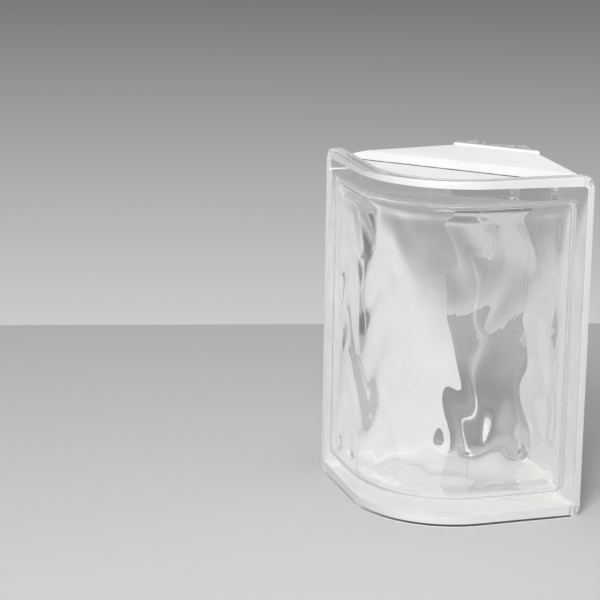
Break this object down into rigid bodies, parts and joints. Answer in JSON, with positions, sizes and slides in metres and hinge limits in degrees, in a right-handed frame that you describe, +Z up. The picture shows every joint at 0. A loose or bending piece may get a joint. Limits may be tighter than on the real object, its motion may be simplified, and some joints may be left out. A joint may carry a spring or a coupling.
{
  "type": "corner glass block",
  "caption": "Hollow 90 degree corner glass block with a rounded outer corner, wavy inside faces and white-coated edges, for turning a glass block wall or screen.",
  "frame": {"origin": "centre of the block's footprint, on the plane its lower edge stands on", "axes": "+Z up the height of the block, -Y out of the rounded outer corner, +X towards one mortar end"},
  "size_m": [0.1636, 0.1252, 0.197],
  "materials": {
    "glass": "polished",
    "edge_coat": "matte"
  },
  "bodies": {
    "root": {"outer_half": "glass", "inner_half": "glass", "edge_coating": "edge_coat"}
  },
  "joints": []
}
